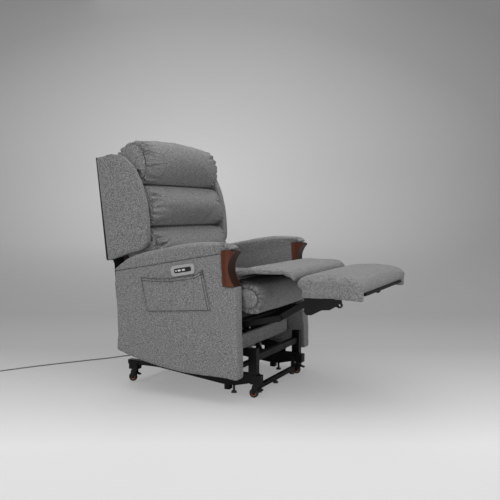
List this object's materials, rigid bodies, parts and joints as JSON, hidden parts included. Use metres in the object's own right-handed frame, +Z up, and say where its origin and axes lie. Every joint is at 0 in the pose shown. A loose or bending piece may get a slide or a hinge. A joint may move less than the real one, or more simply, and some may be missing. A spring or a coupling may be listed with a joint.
{
  "type": "lift recliner chair",
  "caption": "Powered lift recliner on a castored base: padded seat, arms, winged reclining back with bolsters, four-bar lift and folding legrest.",
  "frame": {"origin": "on the floor, under the middle of the chair's width and depth with the legrest raised, as it rests", "axes": "+Z up; the sitter faces -Y, so +Y runs to the rear; +X is to the sitter's left"},
  "size_m": [0.9331, 1.9623, 1.1398],
  "materials": {
    "frame_steel": "satin black paint",
    "rubber": "matte",
    "black_plastic": "fine textured",
    "rod_steel": "bright ground steel",
    "spring_wire": "oiled spring wire",
    "timber": "sawn softwood and plywood",
    "upholstery": "heathered mid-grey weave",
    "polished_wood": "gloss red-brown lacquer",
    "silver_plastic": "satin silver",
    "control_plastic": "satin pale grey",
    "key_plastic": "satin white",
    "black_lining": "black lining cloth",
    "lead_rubber": "matte black sheath",
    "castor_plastic": "black nylon",
    "castor_tread": "black tread, copper-toned ring",
    "pedal_plastic": "black nylon"
  },
  "bodies": {
    "base": {"base_side_frames": "frame_steel", "base_cross_frame": "frame_steel", "base_pivot_brackets": "frame_steel", "glide_feet": "rubber", "power_box": "black_plastic", "cord_run": "lead_rubber", "cord_coil": "lead_rubber", "mains_plug": "black_plastic"},
    "front_arms": {"lift_front_arms": "frame_steel"},
    "rear_arms": {"lift_rear_arms": "frame_steel"},
    "lift_motor": {"lift_motor": "black_plastic"},
    "lift_rod": {"lift_rod": "rod_steel"},
    "carriage": {"chassis_side_plates": "frame_steel", "chassis_cross_tubes": "frame_steel", "front_rail": "upholstery", "seat_side_rails": "timber", "seat_springs": "spring_wire", "seat_cushion": "upholstery", "chaise_pad": "upholstery", "arm_panel_left": "upholstery", "arm_panel_right": "upholstery", "arm_pad_left": "upholstery", "arm_pad_right": "upholstery", "arm_knuckle_left": "polished_wood", "arm_knuckle_right": "polished_wood", "side_pocket": "upholstery", "control_bezel": "silver_plastic", "control_face": "control_plastic", "rear_skirt": "black_lining"},
    "chaise_flap": {"chaise_flap": "upholstery"},
    "home_button": {"home_button": "key_plastic"},
    "back_rocker": {"back_rocker": "key_plastic"},
    "leg_rocker": {"leg_rocker": "key_plastic"},
    "back": {"back_frame": "timber", "back_cover": "black_lining", "head_pillow": "upholstery", "middle_pillow": "upholstery", "lumbar_pillow": "upholstery", "wing_left": "upholstery", "wing_right": "upholstery"},
    "back_motor": {"back_motor": "black_plastic"},
    "back_rod": {"back_rod": "rod_steel"},
    "drive_links": {"legrest_drive_links": "frame_steel"},
    "lift_links": {"legrest_lift_links": "frame_steel"},
    "ottoman": {"ottoman_frame": "frame_steel", "ottoman_pad": "upholstery"},
    "leg_motor": {"leg_motor": "black_plastic"},
    "leg_rod": {"leg_rod": "rod_steel"},
    "castor_front_left": {"castor_fork_front_left": "castor_plastic"},
    "wheel_front_left": {"castor_wheel_front_left": "castor_tread"},
    "brake_front_left": {"castor_brake_front_left": "pedal_plastic"},
    "castor_front_right": {"castor_fork_front_right": "castor_plastic"},
    "wheel_front_right": {"castor_wheel_front_right": "castor_tread"},
    "brake_front_right": {"castor_brake_front_right": "pedal_plastic"},
    "castor_rear_left": {"castor_fork_rear_left": "castor_plastic"},
    "wheel_rear_left": {"castor_wheel_rear_left": "castor_tread"},
    "brake_rear_left": {"castor_brake_rear_left": "pedal_plastic"},
    "castor_rear_right": {"castor_fork_rear_right": "castor_plastic"},
    "wheel_rear_right": {"castor_wheel_rear_right": "castor_tread"},
    "brake_rear_right": {"castor_brake_rear_right": "pedal_plastic"}
  },
  "joints": [
    {"name": "lift", "type": "hinge", "parent": "base", "child": "front_arms", "pos_m": [0, -0.021, 0.12], "axis": [1, 0, 0], "range_deg": [0, 50]},
    {"name": "carriage_tilt", "type": "hinge", "parent": "front_arms", "child": "carriage", "pos_m": [0, 0.237, 0.164], "axis": [1, 0, 0], "range_deg": [-26.7, 0]},
    {"name": "rear_arm_swing", "type": "hinge", "parent": "base", "child": "rear_arms", "pos_m": [0, 0.06, 0.13], "axis": [1, 0, 0], "range_deg": [0, 45.4]},
    {"name": "lift_motor_swing", "type": "hinge", "parent": "base", "child": "lift_motor", "pos_m": [0, 0.455, 0.085], "axis": [1, 0, 0], "range_deg": [0, 2.29]},
    {"name": "lift_rod_slide", "type": "slide", "parent": "lift_motor", "child": "lift_rod", "axis": [0, -0.9802, 0.1981], "range_m": [0, 0.04867]},
    {"name": "legrest", "type": "hinge", "parent": "carriage", "child": "drive_links", "pos_m": [0, 0.024, 0.3], "axis": [1, 0, 0], "range_deg": [0, 73]},
    {"name": "knee_fold", "type": "hinge", "parent": "drive_links", "child": "lift_links", "pos_m": [0, -0.243, 0.358], "axis": [1, 0, 0], "range_deg": [-118.1, 0]},
    {"name": "ottoman_tilt", "type": "hinge", "parent": "lift_links", "child": "ottoman", "pos_m": [0, -0.419, 0.463], "axis": [1, 0, 0], "range_deg": [0, 135.1]},
    {"name": "chaise_fold", "type": "hinge", "parent": "carriage", "child": "chaise_flap", "pos_m": [0, -0.2054, 0.512], "axis": [1, 0, 0], "range_deg": [0, 80.1]},
    {"name": "leg_motor_swing", "type": "hinge", "parent": "carriage", "child": "leg_motor", "pos_m": [-0.09, 0.43, 0.25], "axis": [1, 0, 0], "range_deg": [0, 0.356]},
    {"name": "leg_rod_slide", "type": "slide", "parent": "leg_motor", "child": "leg_rod", "axis": [0, -0.9988, 0.048], "range_m": [-0.0432, 0]},
    {"name": "recline", "type": "hinge", "parent": "carriage", "child": "back", "pos_m": [0, 0.451, 0.4], "axis": [-1, 0, 0], "range_deg": [0, 45]},
    {"name": "back_motor_swing", "type": "hinge", "parent": "carriage", "child": "back_motor", "pos_m": [0.09, 0.045, 0.262], "axis": [1, 0, 0], "range_deg": [-0.159, 0]},
    {"name": "back_rod_slide", "type": "slide", "parent": "back_motor", "child": "back_rod", "axis": [0, 0.9827, 0.1853], "range_m": [-0.04987, 0]},
    {"name": "home_press", "type": "slide", "parent": "carriage", "child": "home_button", "axis": [1, 0, 0], "range_m": [0, 0.001], "stiffness_N_per_m": 1500},
    {"name": "back_key_rock", "type": "hinge", "parent": "carriage", "child": "back_rocker", "pos_m": [-0.402, 0.16375, 0.54911], "axis": [0, 0.1702, 0.9854], "range_deg": [-5, 5], "stiffness_Nm_per_rad": 0.5},
    {"name": "leg_key_rock", "type": "hinge", "parent": "carriage", "child": "leg_rocker", "pos_m": [-0.402, 0.14306, 0.55268], "axis": [0, 0.1702, 0.9854], "range_deg": [-5, 5], "stiffness_Nm_per_rad": 0.5},
    {"name": "swivel_front_left", "type": "hinge", "parent": "base", "child": "castor_front_left", "pos_m": [0.2375, -0.117, 0.06], "axis": [0, 0, 1], "continuous": true},
    {"name": "roll_front_left", "type": "hinge", "parent": "castor_front_left", "child": "wheel_front_left", "pos_m": [0.2375, -0.105, 0.02], "axis": [1, 0, 0], "continuous": true},
    {"name": "brake_front_left", "type": "hinge", "parent": "castor_front_left", "child": "brake_front_left", "pos_m": [0.2375, -0.123, 0.042], "axis": [1, 0, 0], "range_deg": [0, 15]},
    {"name": "swivel_front_right", "type": "hinge", "parent": "base", "child": "castor_front_right", "pos_m": [-0.2375, -0.117, 0.06], "axis": [0, 0, 1], "continuous": true},
    {"name": "roll_front_right", "type": "hinge", "parent": "castor_front_right", "child": "wheel_front_right", "pos_m": [-0.2375, -0.105, 0.02], "axis": [1, 0, 0], "continuous": true},
    {"name": "brake_front_right", "type": "hinge", "parent": "castor_front_right", "child": "brake_front_right", "pos_m": [-0.2375, -0.123, 0.042], "axis": [1, 0, 0], "range_deg": [0, 15]},
    {"name": "swivel_rear_left", "type": "hinge", "parent": "base", "child": "castor_rear_left", "pos_m": [0.2375, 0.517, 0.06], "axis": [0, 0, 1], "continuous": true},
    {"name": "roll_rear_left", "type": "hinge", "parent": "castor_rear_left", "child": "wheel_rear_left", "pos_m": [0.2375, 0.529, 0.02], "axis": [1, 0, 0], "continuous": true},
    {"name": "brake_rear_left", "type": "hinge", "parent": "castor_rear_left", "child": "brake_rear_left", "pos_m": [0.2375, 0.511, 0.042], "axis": [1, 0, 0], "range_deg": [0, 15]},
    {"name": "swivel_rear_right", "type": "hinge", "parent": "base", "child": "castor_rear_right", "pos_m": [-0.2375, 0.517, 0.06], "axis": [0, 0, 1], "continuous": true},
    {"name": "roll_rear_right", "type": "hinge", "parent": "castor_rear_right", "child": "wheel_rear_right", "pos_m": [-0.2375, 0.529, 0.02], "axis": [1, 0, 0], "continuous": true},
    {"name": "brake_rear_right", "type": "hinge", "parent": "castor_rear_right", "child": "brake_rear_right", "pos_m": [-0.2375, 0.511, 0.042], "axis": [1, 0, 0], "range_deg": [0, 15]}
  ],
  "couplings": [
    {"joint": "carriage_tilt", "follows": "lift", "ratio": -0.532},
    {"joint": "rear_arm_swing", "follows": "lift", "ratio": 0.906},
    {"joint": "lift_motor_swing", "follows": "lift", "ratio": 0.0437},
    {"joint": "lift_rod_slide", "follows": "lift", "m_per_rad": 0.055203},
    {"joint": "knee_fold", "follows": "legrest", "ratio": -1.6164},
    {"joint": "ottoman_tilt", "follows": "legrest", "ratio": 1.8493},
    {"joint": "chaise_fold", "follows": "legrest", "ratio": 1.0959},
    {"joint": "leg_motor_swing", "follows": "legrest", "ratio": 0.0035},
    {"joint": "leg_rod_slide", "follows": "legrest", "m_per_rad": -0.033511},
    {"joint": "back_motor_swing", "follows": "recline", "ratio": -0.0013},
    {"joint": "back_rod_slide", "follows": "recline", "m_per_rad": -0.06286}
  ]
}
